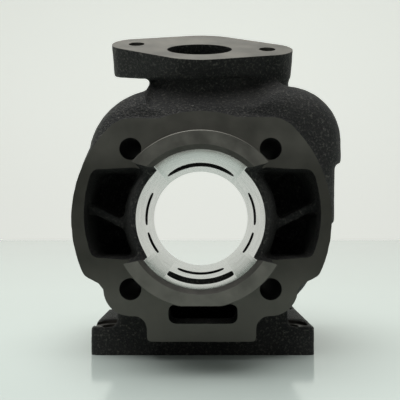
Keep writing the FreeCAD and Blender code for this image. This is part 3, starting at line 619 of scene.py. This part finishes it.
def drilling_cutter():
    """Stud holes, flange and foot bolt holes with their spot faces, and the coolant hole."""
    foot_bolt = [
        (0, FOOT_DROP - LEAD, DRILLED), (FOOT_BOLT_RADIUS, FOOT_DROP - LEAD, DRILLED),
        (FOOT_BOLT_RADIUS, SPOT_FACE_FLOOR, DRILLED), (SPOT_FACE_RADIUS, SPOT_FACE_FLOOR, DRILLED),
        (SPOT_FACE_RADIUS, FOOT_TOP + 1, DRILLED), (0, FOOT_TOP + 1, DRILLED),
    ]
    shapes = []
    for side in (-1, 1):
        for level in (-1, 1):
            start = (side * STUD_PITCH, -LEAD, level * STUD_PITCH)
            # The stud holes take the near-black painted-shade finish.
            shapes.append(drill(start, (0, 1, 0), STUD_HOLE_RADIUS, DECK_HEIGHT + OVERRUN, STUD_HOLE_SHADE))
        for depth in FOOT_BOLT_DEPTHS:
            place = Matrix.Translation((side * FOOT_BOLT_X, depth, 0))
            shapes.append(lathe(place, foot_bolt, SPOT_FACE_STEPS))
        seat = flange_frame()
        top = seat @ Vector((side * FLANGE_BOLT_PITCH, 0, LEAD))
        down = seat.to_3x3() @ Vector((0, 0, -1))
        shapes.append(drill(top, down, FLANGE_BOLT_RADIUS, LEAD + FLANGE_BOLT_DEPTH))
    coolant = (COOLANT_START, COOLANT_DEPTH, COOLANT_LIFT)
    shapes.append(drill(coolant, (1, 0, 0), COOLANT_RADIUS, 25))
    return cutter("drilling", shapes)


def finished_barrel():
    """Cast, turn, face and drill the barrel, and give each face its finish."""
    barrel = sand_casting(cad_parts["barrel"])
    barrel.data.materials.clear()
    barrel.data.materials.append(FINISHES[CAST])
    for tool in (turning_cutter(), facing_cutter(), drilling_cutter(), oval_cutter()):
        machine(barrel, tool)
    mesh = barrel.data
    mesh.polygons.foreach_set("use_smooth", [True] * len(mesh.polygons))
    mesh.set_sharp_from_angle(angle=radians(38.0))
    return barrel


barrel = finished_barrel()
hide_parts("barrel")
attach(barrel, "root")


# Stage, light and camera

def stage_material(name, code, roughness, glow=0.0):
    """A plain pale stage surface; glow is the light that it sends out itself."""
    material, _, shader = new_material(name)
    shader.inputs["Base Color"].default_value = hex_colour(code)
    shader.inputs["Roughness"].default_value = roughness
    shader.inputs["Emission Color"].default_value = hex_colour(code)
    shader.inputs["Emission Strength"].default_value = glow
    return material


def plane(name, corners, material):
    """A flat stage surface through four corners in millimetres."""
    mesh = bpy.data.meshes.new(name)
    mesh.from_pydata([Vector(c) * MM for c in corners], [], [(0, 1, 2, 3)])
    mesh.materials.append(material)
    new_object(name, mesh)


# Half width of the table, and its far edge.
TABLE_REACH = 2500
TABLE_EDGE = 900
plane(
    "floor",
    [
        (-TABLE_REACH, -TABLE_REACH, FOOT_DROP), (TABLE_REACH, -TABLE_REACH, FOOT_DROP),
        (TABLE_REACH, TABLE_EDGE, FOOT_DROP), (-TABLE_REACH, TABLE_EDGE, FOOT_DROP),
    ],
    stage_material("pale_gloss_table", "#d5e0da", 0.12),
)
plane(
    "backdrop",
    [(-4000, 1500, -1500), (4000, 1500, -1500), (4000, 1500, 3000), (-4000, 1500, 3000)],
    stage_material("pale_paper", "#eef0ea", 0.9, 0.56),
)


# A large soft lamp overhead.
LAMP_PLACE = Vector((-120, -60, 900))
LAMP_AIM = Vector((0, 20, 0))
lamp = bpy.data.lights.new("key_light", "AREA")
lamp.shape = "SQUARE"
lamp.size = 900 * MM
lamp.energy = 8.5
key_light = new_object("key_light", lamp)
key_light.location = LAMP_PLACE * MM
key_light.rotation_euler = (LAMP_PLACE - LAMP_AIM).to_track_quat("Z", "Y").to_euler()

world = bpy.data.worlds.new("studio")
world.use_nodes = True
world.node_tree.nodes["Background"].inputs["Color"].default_value = hex_colour("#eef1ee")
world.node_tree.nodes["Background"].inputs["Strength"].default_value = 0.24
bpy.context.scene.world = world
bpy.context.scene.view_settings.view_transform = "Standard"

# The camera, as fitted to the image: its size, focal length and optical centre in pixels.
IMAGE_SIZE = 400
FOCAL_LENGTH = 535.6
CENTRE_ACROSS = 201.8
CENTRE_DOWN = 216.8
SENSOR = 36.0
camera = bpy.data.cameras.new("camera")
camera.sensor_width = SENSOR
camera.lens = SENSOR * FOCAL_LENGTH / IMAGE_SIZE
camera.shift_x = (IMAGE_SIZE / 2 - CENTRE_ACROSS) / IMAGE_SIZE
camera.shift_y = (CENTRE_DOWN - IMAGE_SIZE / 2) / IMAGE_SIZE
camera.clip_start = 0.005
camera.clip_end = 20.0
viewer = new_object("camera", camera)
viewer.location = Vector((0.4, -171.6, 0.7)) * MM
viewer.rotation_euler = (pi / 2, 0, 0)
bpy.context.scene.camera = viewer
